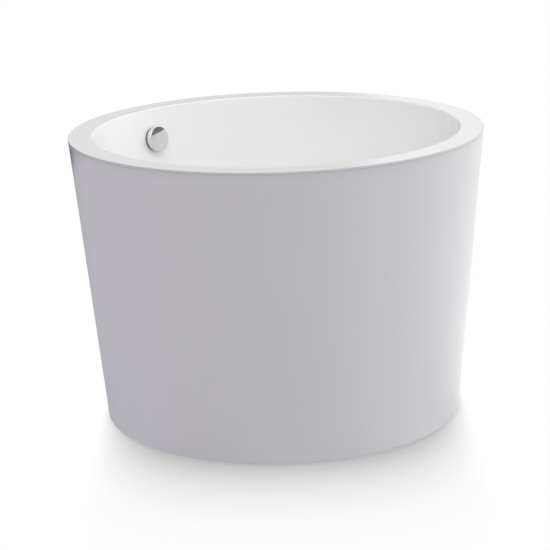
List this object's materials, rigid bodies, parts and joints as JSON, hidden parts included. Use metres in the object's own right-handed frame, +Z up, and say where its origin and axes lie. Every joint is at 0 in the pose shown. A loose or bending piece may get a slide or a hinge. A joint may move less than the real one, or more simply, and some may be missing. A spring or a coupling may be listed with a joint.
{
  "type": "freestanding bathtub",
  "caption": "Round freestanding double-walled bathtub with a tapered skirt, a flat rim, a twist-knob overflow that lifts the drain plug, and levelling feet.",
  "frame": {"origin": "on the floor under the middle of the tub, which is the centre of the bounding box's base", "axes": "+Z up; +Y from the middle towards the overflow knob; +X to the right seen from -Y"},
  "size_m": [1.0496, 1.0496, 0.735],
  "materials": {
    "acrylic_inside": "gloss white sanitary acrylic",
    "acrylic_outside": "gloss white sanitary acrylic",
    "adhesive": "cured adhesive",
    "plywood": "sealed birch plywood",
    "zinc_steel": "bright zinc plate",
    "black_plastic": "moulded, fine texture",
    "chrome": "polished chrome plate",
    "rubber": "matt moulded rubber",
    "white_plastic": "moulded polypropylene",
    "grey_plastic": "moulded polypropylene"
  },
  "bodies": {
    "tub": {"basin": "acrylic_inside", "skirt": "acrylic_outside", "rim_bond": "adhesive", "skirt_hoop": "plywood", "base_board": "plywood", "rail_left": "zinc_steel", "rail_right": "zinc_steel", "rail_screws": "zinc_steel", "rail_weld_nuts": "zinc_steel", "foot_lock_nuts": "zinc_steel", "strap_bolts": "zinc_steel", "hoop_screws": "zinc_steel", "overflow_screws": "zinc_steel", "lever_pin": "zinc_steel", "skirt_strap_front_left": "zinc_steel", "skirt_strap_front_right": "zinc_steel", "skirt_strap_rear_left": "zinc_steel", "skirt_strap_rear_right": "zinc_steel", "rail_end_caps": "black_plastic", "cable_sheath": "black_plastic", "drain_flange": "chrome", "flange_gasket": "rubber", "body_gasket": "rubber", "inlet_seal": "rubber", "overflow_gasket": "rubber", "overflow_seal": "rubber", "waste_body": "white_plastic", "overflow_body": "white_plastic", "overflow_pipe": "white_plastic", "overflow_rosette": "grey_plastic", "inlet_nut": "grey_plastic", "overflow_nut": "grey_plastic", "cable_clips": "grey_plastic"},
    "knob": {"overflow_knob": "chrome", "knob_grub_screw": "zinc_steel", "knob_spindle": "zinc_steel", "cable_drum": "black_plastic"},
    "plug": {"drain_plug": "chrome", "plug_stem": "chrome", "plug_seal": "rubber"},
    "lever": {"lift_lever": "white_plastic"},
    "foot_front_left": {"foot_stud_front_left": "zinc_steel", "foot_pad_front_left": "black_plastic"},
    "foot_front_right": {"foot_stud_front_right": "zinc_steel", "foot_pad_front_right": "black_plastic"},
    "foot_rear_left": {"foot_stud_rear_left": "zinc_steel", "foot_pad_rear_left": "black_plastic"},
    "foot_rear_right": {"foot_stud_rear_right": "zinc_steel", "foot_pad_rear_right": "black_plastic"}
  },
  "joints": [
    {"name": "knob_turn", "type": "hinge", "parent": "tub", "child": "knob", "pos_m": [0, 0.45265, 0.65444], "axis": [0, -0.9877, 0.1564], "range_deg": [0, 90]},
    {"name": "plug_lift", "type": "slide", "parent": "tub", "child": "plug", "axis": [0, 0, 1], "range_m": [0, 0.01]},
    {"name": "lever_turn", "type": "hinge", "parent": "tub", "child": "lever", "pos_m": [0, -0.0156, 0.084], "axis": [1, 0, 0], "range_deg": [0, 36.42]},
    {"name": "foot_front_left_height", "type": "slide", "parent": "tub", "child": "foot_front_left", "axis": [0, 0, 1], "range_m": [-0.015, 0.002]},
    {"name": "foot_front_right_height", "type": "slide", "parent": "tub", "child": "foot_front_right", "axis": [0, 0, 1], "range_m": [-0.015, 0.002]},
    {"name": "foot_rear_left_height", "type": "slide", "parent": "tub", "child": "foot_rear_left", "axis": [0, 0, 1], "range_m": [-0.015, 0.002]},
    {"name": "foot_rear_right_height", "type": "slide", "parent": "tub", "child": "foot_rear_right", "axis": [0, 0, 1], "range_m": [-0.015, 0.002]}
  ],
  "couplings": [
    {"joint": "plug_lift", "follows": "knob_turn", "m_per_rad": 0.006366},
    {"joint": "lever_turn", "follows": "knob_turn", "ratio": 0.40466}
  ]
}
